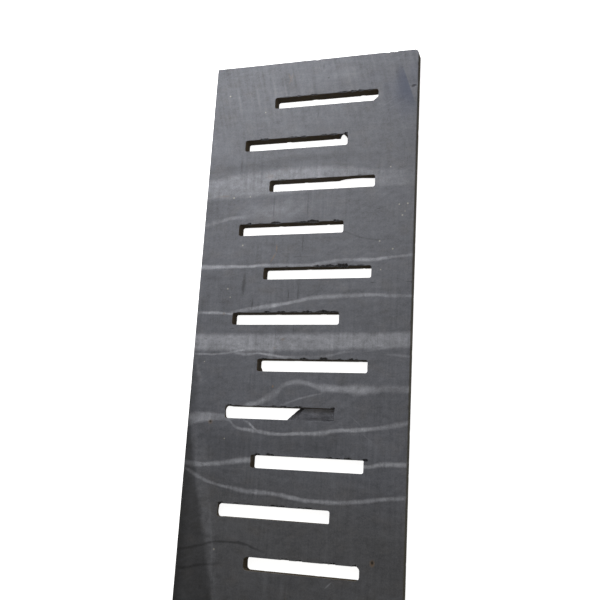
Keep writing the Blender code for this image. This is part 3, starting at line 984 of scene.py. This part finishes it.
def lay_curve(curve, points):
    """Runs one curve of a curve node through points between 0 and 1."""
    curve.points[0].location, curve.points[-1].location = points[0], points[-1]
    for point in points[1:-1]:
        curve.points.new(*point)
    for point in curve.points:
        point.handle_type = "AUTO_CLAMPED"


def vein(tree, along, aside, swell, run, softness, line):
    """How strongly a vein shows: 0 beside it, and up to its own strength within it.

    along is the place along the vein, from 0 to 1. aside is the place across it, and
    swell is how much narrower the vein is there.
    """
    node = add(tree, "RGBCurve", {"Color": along})
    curves = node.mapping.curves
    lay_curve(curves[0], [(p[0] / run, p[1] / RUN_DOWN) for p in line])
    lay_curve(curves[1], [(p[0] / run, p[2] / WIDEST_VEIN) for p in line])
    lay_curve(curves[2], [(p[0] / run, p[3]) for p in line])
    node.mapping.update()
    course = add(tree, "SeparateColor", {0: node.outputs["Color"]}).outputs
    off = add(tree, "Math", {0: aside, 1: course[0]}, operation="SUBTRACT")
    off = add(tree, "Math", {0: off}, operation="ABSOLUTE")
    off = add(tree, "Math", {0: off, 1: swell}, operation="ADD")
    share = add(tree, "Math", {0: off, 1: course[1]}, operation="DIVIDE")
    edge = WIDEST_VEIN / RUN_DOWN
    outer, inner = edge * (1 + softness), edge * max(1 - softness, 0.0)
    inside = add(tree, "MapRange", {0: share, 1: outer, 2: inner, 3: 0.0, 4: 1.0},
                 interpolation_type="SMOOTHSTEP")
    return add(tree, "Math", {0: inside, 1: course[2]}, operation="MULTIPLY")


def strongest(tree, masks):
    """The strongest of several masks at each place."""
    total = masks[0]
    for mask in masks[1:]:
        total = add(tree, "Math", {0: total, 1: mask}, operation="MAXIMUM")
    return total


def marks(tree, place, spots):
    """Soft oval marks, each as strong as its last number in its middle."""
    masks = []
    for x, low, half_width, half_length, turn, strength in spots:
        local = add(tree, "Mapping", {
            "Vector": place, "Location": (x, low, THICKNESS / MM),
            "Rotation": (0, 0, math.radians(turn)),
            "Scale": (half_width, half_length, MARK_DEPTH),
        }, vector_type="TEXTURE")
        far = add(tree, "VectorMath", {0: local}, operation="LENGTH").outputs["Value"]
        masks.append(add(tree, "MapRange", {
            0: far, 1: 1.25, 2: 0.15, 3: 0.0, 4: strength,
        }, interpolation_type="SMOOTHSTEP"))
    return strongest(tree, masks)


def stretched_noise(tree, place, size, seed, detail=3.0, rough=0.55, turn=0.0):
    """A noise whose grains are as wide, long and deep as size says, in mm.

    Each seed reads another part of the noise. The turn is in degrees.
    """
    local = add(tree, "Mapping", {
        "Vector": place, "Location": (seed * 37.7, seed * 11.3, 0),
        "Rotation": (0, 0, math.radians(turn)), "Scale": size,
    }, vector_type="TEXTURE")
    return add(tree, "TexNoise", {
        "Vector": local, "Scale": 1.0, "Detail": detail, "Roughness": rough,
    }).outputs[0]


def weigh(tree, start, parts):
    """Adds noises to a start, each times its weight."""
    total = start
    for noise, weight in parts:
        total = add(tree, "Math", {
            0: noise, 1: weight, 2: total}, operation="MULTIPLY_ADD")
    return total


def scar_step_shade(tree, x, low):
    """Painted shade beside the scar's step, in the smears' colour: sharp along the
    scar, and fading to its left.

    It widens down from a point near the head end.
    """
    inside = add(tree, "Math", {
        0: low, 1: SCAR_LEAN, 2: SCAR_LINE}, operation="MULTIPLY_ADD")
    inside = add(tree, "Math", {0: inside, 1: x}, operation="SUBTRACT")
    below = add(tree, "Math", {0: low, 1: SCAR_SHADE_POINT}, operation="SUBTRACT")
    spread = add(tree, "Math", {0: inside, 1: below}, operation="DIVIDE")
    # Its sharp edge, its fading edge, its head end and its foot end.
    edges = ((inside, -1.0, 2.0), (spread, 0.7, 0.10), (low, 16.0, 66.0),
             (low, 165.0, 85.0))
    total = SCAR_SHADE_STRENGTH
    for place, start, full in edges:
        share = add(tree, "MapRange", {0: place, 1: start, 2: full, 3: 0.0, 4: 1.0},
                    interpolation_type="SMOOTHSTEP")
        total = add(tree, "Math", {0: share, 1: total}, operation="MULTIPLY")
    return total


def slate_body(look):
    """The stone itself, all through: its beds, veins, mottling and saw marks."""
    tree = bpy.data.node_groups.new("Slate body", "ShaderNodeTree")
    tree.interface.new_socket(
        name="Place", in_out="INPUT", socket_type="NodeSocketVector")
    for name, kind in (("Colour", "Color"), ("Grain", "Float"), ("Streaks", "Float")):
        tree.interface.new_socket(
            name=name, in_out="OUTPUT", socket_type="NodeSocket" + kind)
    place = add(tree, "NodeGroupInput").outputs["Place"]

    # The beds dip through the slab, and their edges wander.
    x, low, high = add(tree, "SeparateXYZ", {0: place}).outputs
    wide = stretched_noise(tree, place, (38, 60, 200), seed=1)
    close = stretched_noise(tree, place, (5, 4, 30), seed=2)
    level = DIP * THICKNESS / MM - (BED_WANDER + BED_JITTER) / 2
    low = add(tree, "Math", {0: high, 1: -DIP, 2: low}, operation="MULTIPLY_ADD")
    low = add(tree, "Math", {0: low, 1: level}, operation="ADD")
    low = add(tree, "Math", {0: wide, 1: BED_WANDER, 2: low}, operation="MULTIPLY_ADD")
    low = add(tree, "Math", {0: close, 1: BED_JITTER, 2: low}, operation="MULTIPLY_ADD")
    side = add(tree, "Math", {
        0: close, 1: SMEAR_JITTER, 2: x}, operation="MULTIPLY_ADD")
    along = add(tree, "Math", {0: x, 1: 1 / RUN_ACROSS}, operation="MULTIPLY")
    steep = add(tree, "Math", {0: low, 1: 1 / RUN_DOWN}, operation="MULTIPLY")
    side = add(tree, "Math", {0: side, 1: 1 / RUN_DOWN}, operation="MULTIPLY")

    uneven = stretched_noise(tree, place, (18, 10, 60), seed=17, detail=2.0)
    swell = add(tree, "MapRange", {
        0: uneven, 1: 0.3, 2: 0.7, 3: VEIN_SWELL / RUN_DOWN, 4: -VEIN_SWELL / RUN_DOWN})
    pale = [vein(tree, along, steep, swell, RUN_ACROSS, *line) for line in VEINS]
    pale += [vein(tree, steep, side, swell, RUN_DOWN, *line) for line in STEEP_VEINS]
    pale = strongest(tree, pale)
    dark = [vein(tree, along, steep, swell, RUN_ACROSS, *line) for line in DARK_BEDS]
    dark = strongest(tree, dark)

    # Mottling of 2 to 90 mm, beds across, and saw marks that run down in patches. Near
    # the head the saw marks slant and are coarser.
    cloud = stretched_noise(tree, place, (80, 60, 90), seed=3, detail=2.0)
    mottle = stretched_noise(tree, place, (15, 11, 15), seed=4, rough=0.6)
    spots = stretched_noise(
        tree, place, (4.4, 4.0, 4.4), seed=18, detail=2.0, rough=0.6)
    grain = stretched_noise(tree, place, (1.8, 1.8, 1.8), seed=5, rough=0.7)
    thin_beds = stretched_noise(tree, place, (90, 9, 9), seed=6, rough=0.6, turn=3)
    streaks = stretched_noise(
        tree, place, (6, 100, 100), seed=7, detail=4.0, rough=0.65)
    slanted = stretched_noise(tree, place, (8, 110, 110), seed=8, rough=0.6, turn=-13)
    crossing = stretched_noise(tree, place, (7, 90, 90), seed=19, rough=0.6, turn=58)
    where = stretched_noise(tree, place, (70, 90, 90), seed=20, detail=2.0)
    start, full = SLANTED_SAW
    near_head = add(tree, "MapRange", {0: low, 1: start, 2: full, 3: 0.0, 4: 1.0})
    sawn_there = add(tree, "MapRange", {0: where, 1: 0.42, 2: 0.58, 3: 0.25, 4: 1.0})
    crossed_there = add(tree, "MapRange", {0: where, 1: 0.5, 2: 0.42, 3: 0.0, 4: 0.8})
    streaks = add(tree, "Mix", {"Factor": sawn_there, "A": 0.5, "B": streaks})
    crossing = add(tree, "Mix", {"Factor": crossed_there, "A": 0.5, "B": crossing})
    saw = add(tree, "Mix", {"Factor": near_head, "A": streaks, "B": slanted})
    tones = (
        (cloud, 0.48), (mottle, 0.60), (spots, 0.50), (grain, 0.95), (thin_beds, 0.34),
        (saw, 0.75), (crossing, 0.55))
    # Each noise is 0.5 in its middle, where the tone is to be 1.
    tone = weigh(tree, 1.0 - 0.5 * sum(weight for _, weight in tones), tones)

    # The veins are patchy, because the saw marks cross them.
    patchy = weigh(tree, 0.30, ((mottle, 0.70), (saw, 0.70)))
    pale = add(tree, "Math", {0: pale, 1: patchy}, operation="MULTIPLY", use_clamp=True)
    # The darker, less blue stone at the foot starts lower on the right, and its edge
    # wanders.
    edge = add(tree, "Math", {
        0: x, 1: -DARKER_FOOT_LEAN, 2: low}, operation="MULTIPLY_ADD")
    edge = add(tree, "Math", {
        0: cloud, 1: DARKER_FOOT_WANDER, 2: edge}, operation="MULTIPLY_ADD")
    start, full = DARKER_FOOT
    foot = add(tree, "MapRange", {0: edge, 1: start, 2: full, 3: 0.0, 4: 1.0})
    tint = stretched_noise(tree, place, (34, 26, 34), seed=21)
    tint = add(tree, "MapRange", {0: tint, 1: 0.5, 2: 0.72, 3: 0.0, 4: 0.08})
    stone = look.stone
    for mask, layer in ((foot, look.foot_stone), (tint, look.dust), (pale, look.vein)):
        stone = add(tree, "Mix", {
            "Factor": mask, 6: stone, 7: layer}, data_type="RGBA").outputs[2]
    shaded = add(tree, "VectorMath", {0: stone, "Scale": tone}, operation="SCALE")
    left = add(tree, "Math", {0: 1.0, 1: dark}, operation="SUBTRACT")
    shaded = add(tree, "VectorMath", {0: shaded, "Scale": left}, operation="SCALE")

    out = add(tree, "NodeGroupOutput", {"Colour": shaded})
    tree.links.new(grain, out.inputs["Grain"])
    tree.links.new(saw.outputs[0], out.inputs["Streaks"])
    return tree


def stone_place(tree):
    """The place in the slab in mm: X from the left side, down from the head, and up."""
    coords = add(tree, "TexCoord").outputs["Object"]
    return add(tree, "Mapping", {
        "Vector": coords, "Location": (WIDTH / 2 / MM, LENGTH / 2 / MM, 0),
        "Scale": (1 / MM, -1 / MM, 1 / MM),
    }).outputs[0]


def new_finish(name, body):
    """An empty material with the stone's body in it."""
    material = bpy.data.materials.new(name)
    material.use_nodes = True
    tree = material.node_tree
    tree.nodes.clear()
    place = stone_place(tree)
    stone = add(tree, "Group", node_tree=body)
    tree.links.new(place, stone.inputs["Place"])
    return tree, place, stone.outputs


def put_out(tree, colour, roughness, height, depth, level):
    """Ends a material in its shader, with its relief's depth in mm and its gloss."""
    relief = add(tree, "Bump", {
        "Strength": 1.0, "Distance": depth * MM, "Height": height})
    shader = add(tree, "BsdfPrincipled", {
        "Base Color": colour, "Roughness": roughness, "Normal": relief,
        "Specular IOR Level": level, "IOR": 1.5})
    add(tree, "OutputMaterial", {"Surface": shader})


def honed_slate(look, body):
    """Slate rubbed flat after sawing: matt, with saw marks, rubs and pale grains."""
    tree, place, stone = new_finish(HONED, body)
    dark = marks(tree, place, DARK_MARKS)
    pale = marks(tree, place, PALE_MARKS)
    rust = marks(tree, place, RUST_MARKS)
    x, low, _ = add(tree, "SeparateXYZ", {0: place}).outputs
    # The smears, and painted shade along the scar's step.
    blue_smear_and_shade = strongest(tree, [marks(tree, place, BLUE_MARKS), scar_step_shade(tree, x, low)])
    specks = []
    for *spot, radius in SPECKS:
        centre = (*spot, THICKNESS / MM)
        far = add(tree, "VectorMath", {0: place, 1: centre}, operation="DISTANCE")
        specks.append(add(tree, "MapRange", {
            0: far.outputs["Value"], 1: radius, 2: 0.3 * radius, 3: 0.0,
            4: SPECK_STRENGTH}))
    specks = strongest(tree, specks)

    rag = stretched_noise(tree, place, (7, 22, 30), seed=9)
    patch = stretched_noise(tree, place, (26, 34, 30), seed=10)
    # The darker areas' edges are ragged by up to 20 mm.
    ragged = add(tree, "Math", {0: patch, 1: 12.0, 2: x}, operation="MULTIPLY_ADD")
    ragged = add(tree, "Math", {0: rag, 1: 8.0, 2: ragged}, operation="MULTIPLY_ADD")
    past = add(tree, "Math", {
        0: low, 1: -FOOT_LEFT_DARK_LEAN, 2: ragged}, operation="MULTIPLY_ADD")
    start, full = FOOT_LEFT_DARK_LINE
    corner = add(tree, "MapRange", {
        0: past, 1: start, 2: full, 3: 0.0, 4: FOOT_LEFT_DARK_STRENGTH,
    }, interpolation_type="SMOOTHSTEP")
    start, full = LEFT_SIDE_DARK_EDGE
    side = add(tree, "MapRange", {
        0: ragged, 1: start, 2: full, 3: 0.0, 4: LEFT_SIDE_DARK_STRENGTH})
    start, full = LEFT_SIDE_DARK_HEAD
    down_there = add(tree, "MapRange", {0: low, 1: start, 2: full, 3: 0.0, 4: 1.0})
    side = add(tree, "Math", {0: side, 1: down_there}, operation="MULTIPLY")
    keep = 1.0
    for share in (dark, corner, side):
        clear = add(tree, "Math", {0: 1.0, 1: share}, operation="SUBTRACT")
        keep = add(tree, "Math", {0: clear, 1: keep}, operation="MULTIPLY")

    colour = stone["Colour"]
    for mask, layer in ((pale, look.vein), (blue_smear_and_shade, look.smear_and_shade), (rust, look.rust)):
        colour = add(tree, "Mix", {
            "Factor": mask, 6: colour, 7: layer}, data_type="RGBA").outputs[2]
    colour = add(tree, "VectorMath", {0: colour, "Scale": keep}, operation="SCALE")
    colour = add(tree, "Mix", {
        "Factor": specks, 6: colour.outputs[0], 7: look.speck}, data_type="RGBA")

    roughness = weigh(tree, 0.46, ((stone["Grain"], 0.12), (rag, 0.14)))
    height = weigh(tree, 0.0, ((stone["Grain"], 0.5), (stone["Streaks"], 0.8)))
    put_out(tree, colour.outputs[2], roughness, height, depth=0.16, level=0.4)


def dusted(tree, colour, tone, blotch, amount, dust):
    """Shades a colour, and lays dust on it where a blotchy noise is high.

    amount is the range of the noise, then the range of the dust's strength.
    """
    shaded = add(tree, "VectorMath", {0: colour, "Scale": tone}, operation="SCALE")
    dusty = add(tree, "MapRange", dict(enumerate((blotch, *amount))))
    return add(tree, "Mix", {
        "Factor": dusty, 6: shaded.outputs[0], 7: dust}, data_type="RGBA").outputs[2]


def sawn_slate(look, body):
    """The sawn sides: duller than the face, with the saw's lines running along them."""
    tree, place, stone = new_finish(SAWN, body)
    lines = stretched_noise(tree, place, (90, 90, 0.9), seed=11, rough=0.7)
    blotch = stretched_noise(tree, place, (14, 14, 6), seed=12)
    tone = weigh(tree, 0.25, ((lines, 0.6), (blotch, 0.7)))
    amount = (0.35, 0.75, 0.25, 0.7)
    colour = dusted(tree, stone["Colour"], tone, blotch, amount, look.side_dust)
    height = weigh(tree, 0.0, ((stone["Grain"], 0.5), (lines, 1.0)))
    roughness = weigh(tree, 0.62, ((blotch, 0.2),))
    put_out(tree, colour, roughness, height, depth=0.3, level=0.3)


def dusty_slot_wall(look, body):
    """Slot walls as the tool left them: upright lines, and brown dust in the pores."""
    tree, place, stone = new_finish(DUSTY, body)
    lines = stretched_noise(tree, place, (1.6, 1.6, 30), seed=13, rough=0.7)
    blotch = stretched_noise(tree, place, (9, 9, 7), seed=14, detail=4.0, rough=0.6)
    tone = weigh(tree, 0.0, ((lines, 0.7), (blotch, 0.9)))
    amount = (0.3, 0.7, 0.35, 0.9)
    colour = dusted(tree, stone["Colour"], tone, blotch, amount, look.dust)
    height = weigh(tree, 0.0, ((stone["Grain"], 0.4), (lines, 1.0), (blotch, 1.4)))
    roughness = weigh(tree, 0.72, ((blotch, 0.2),))
    put_out(tree, colour, roughness, height, depth=0.5, level=0.25)


def broken_slate(look, body):
    """Broken slate: thin steps where it splits, rough and without sheen."""
    tree, place, stone = new_finish(BROKEN, body)
    steps = stretched_noise(tree, place, (12, 12, 0.8), seed=15, rough=0.6)
    blotch = stretched_noise(tree, place, (4, 4, 4), seed=16, detail=4.0, rough=0.65)
    tone = weigh(tree, 0.45, ((steps, 0.8), (blotch, 0.8)))
    tone = add(tree, "Math", {0: tone, 1: 1.2}, operation="MULTIPLY")
    amount = (0.45, 0.8, 0.0, 0.35)
    colour = dusted(tree, stone["Colour"], tone, blotch, amount, look.dust)
    height = weigh(tree, 0.0, ((steps, 1.0), (blotch, 0.8)))
    roughness = weigh(tree, 0.7, ((blotch, 0.2),))
    put_out(tree, colour, roughness, height, depth=0.6, level=0.3)


def torn_slate(look, body):
    """The tear at the bottom of the half-cut slot: paler than the rest by painted
    light, strongest at the slot's upper wall, where its shade falls.
    """
    tree, place, stone = new_finish(TORN, body)
    steps = stretched_noise(tree, place, (34, 3, 3), seed=22, rough=0.6)
    blotch = stretched_noise(tree, place, (14, 8, 8), seed=23, rough=0.6)
    _, low, _ = add(tree, "SeparateXYZ", {0: place}).outputs
    # The tone is painted light: many times the stone's tone at the upper wall, where
    # its shade falls on the web, fading to a little over it lower down.
    pale, dark = TEAR_PAINTED_LIGHT
    painted_light = add(tree, "MapRange", {
        0: low, 1: TEAR_TOP, 2: TEAR_TOP + TEAR_FADE, 3: pale, 4: dark})
    tone = weigh(tree, 0.4, ((steps, 0.6), (blotch, 0.7)))
    tone = add(tree, "Math", {0: tone, 1: painted_light}, operation="MULTIPLY")
    amount = (0.5, 0.7, 0.0, 0.2)
    colour = dusted(tree, stone["Colour"], tone, blotch, amount, look.fresh_dust)
    height = weigh(tree, 0.0, ((steps, 1.0), (blotch, 0.8)))
    put_out(tree, colour, 0.75, height, depth=0.5, level=0.3)


def finish_stone(look):
    """Makes the five finishes of the one stone."""
    body = slate_body(look)
    for finish in (honed_slate, sawn_slate, dusty_slot_wall, broken_slate, torn_slate):
        finish(look, body)


# --------------------------------------------------------------------------------------
# The stage
# --------------------------------------------------------------------------------------

CAMERA_PLACE = (0.4960, -0.3098, 1.5374)
CAMERA_FORWARD = (-0.3051, 0.2140, -0.9280)
CAMERA_UP = (0.0102, 0.9751, 0.2215)
FLOOR_SIZE = 12.0

# Soft lights over the head end and low on the right: name, place, the point that each
# faces, size, power and colour.
LIGHTS = (
    ("over_head", (-0.3, 0.7, 1.3), (0.0, 0.4, 0.0), 1.0, 10.0, (1.0, 1.0, 1.0)),
    ("near_head_left", (-0.5, 0.95, 0.7), (-0.1, 0.5, 0.0), 0.6, 5.0, (1.0, 1.0, 1.0)),
    ("head_low", (-0.2, 1.2, 0.7), (0.0, 0.3, 0.0), 0.8, 5.3, (1.0, 1.0, 1.0)),
    ("right_low", (1.6, 0.1, 0.34), (0.0, 0.0, 0.0), 1.4, 5.8, (1.0, 0.95, 0.88)),
)


def soft_light(name, place, target, size, power, colour):
    """Hangs a square light that faces a point."""
    bpy.ops.object.light_add(type="AREA", location=place)
    light = bpy.context.object
    light.name = name
    light.data.shape = "SQUARE"
    light.data.size = size
    light.data.energy = power
    light.data.color = colour
    aim = Vector(target) - Vector(place)
    light.rotation_euler = aim.to_track_quat("-Z", "Y").to_euler()


def lay_floor(stage):
    """Lays a pale floor that glows, so that it stays white beside the slab."""
    bpy.ops.mesh.primitive_plane_add(size=FLOOR_SIZE, location=(0, 0, 0))
    floor = bpy.context.object
    floor.name = "studio_floor"
    material = bpy.data.materials.new("Pale studio floor")
    material.use_nodes = True
    shader = material.node_tree.nodes["Principled BSDF"]
    shader.inputs["Base Color"].default_value = stage.floor
    shader.inputs["Roughness"].default_value = 0.9
    shader.inputs["Emission Color"].default_value = (1, 1, 1, 1)
    shader.inputs["Emission Strength"].default_value = stage.glow
    floor.data.materials.append(material)
    # The glowing floor throws no light up into the slots.
    floor.visible_diffuse = False
    floor.visible_glossy = False


def fill_all_round(context, stage):
    """A white backdrop that lights the stone only a little."""
    world = bpy.data.worlds.new("Soft studio light")
    context.scene.world = world
    world.use_nodes = True
    tree = world.node_tree
    tree.nodes.clear()
    sight = add(tree, "LightPath").outputs["Is Camera Ray"]
    backdrop = add(tree, "Background", {"Color": (1, 1, 1, 1), "Strength": 1.0})
    fill = add(tree, "Background", {"Color": srgb("#fffaf0"), "Strength": stage.fill})
    mixed = add(tree, "MixShader", {0: sight, 1: fill, 2: backdrop})
    add(tree, "OutputWorld", {"Surface": mixed})


class SLATE_OT_light_stage(bpy.types.Operator):
    """Set out the floor, the lights and the camera"""

    bl_idname = "slate.light_stage"
    bl_label = "Light the stage"
    bl_options = {"REGISTER", "UNDO"}

    def execute(self, context):
        stage = context.scene.slate_stage
        bpy.ops.object.select_all(action="DESELECT")
        lay_floor(stage)
        for light in LIGHTS:
            soft_light(*light)
        fill_all_round(context, stage)

        forward = Vector(CAMERA_FORWARD).normalized()
        right = forward.cross(Vector(CAMERA_UP)).normalized()
        turn = Matrix((right, right.cross(forward), -forward)).transposed()
        bpy.ops.object.camera_add(location=CAMERA_PLACE, rotation=turn.to_euler())
        camera = bpy.context.object
        camera.data.lens = stage.lens
        camera.data.sensor_width = 36.0
        context.scene.camera = camera
        context.scene.view_settings.view_transform = "Standard"
        return {"FINISHED"}


class SLATE_PT_workshop(bpy.types.Panel):
    """Lists the slab's sizes, colours and operators"""

    bl_label = "Slotted slate slab"
    bl_idname = "SLATE_PT_workshop"
    bl_space_type = "VIEW_3D"
    bl_region_type = "UI"
    bl_category = "Slate"

    def draw(self, context):
        layout = self.layout
        for name in ("slate_sizes", "slate_look", "slate_stage"):
            group = getattr(context.scene, name)
            box = layout.box()
            for key in group.bl_rna.properties.keys():
                if key not in ("rna_type", "name"):
                    box.prop(group, key)
        layout.operator(SLATE_OT_cut_slab.bl_idname)
        layout.operator(SLATE_OT_light_stage.bl_idname)


CLASSES = (
    SlateSizes, SlateLook, SlateStage, SLATE_OT_cut_slab, SLATE_OT_light_stage,
    SLATE_PT_workshop,
)


def register():
    """Makes the sizes, the colours, the operators and the panel known to Blender."""
    for cls in CLASSES:
        bpy.utils.register_class(cls)
    bpy.types.Scene.slate_sizes = bpy.props.PointerProperty(type=SlateSizes)
    bpy.types.Scene.slate_look = bpy.props.PointerProperty(type=SlateLook)
    bpy.types.Scene.slate_stage = bpy.props.PointerProperty(type=SlateStage)


def unregister():
    """Takes them out again."""
    del bpy.types.Scene.slate_stage
    del bpy.types.Scene.slate_look
    del bpy.types.Scene.slate_sizes
    for cls in reversed(CLASSES):
        bpy.utils.unregister_class(cls)


def main():
    """Makes the slab and its stage."""
    register()
    bpy.ops.slate.cut_slab()
    bpy.ops.slate.light_stage()


if __name__ == "__main__":
    main()
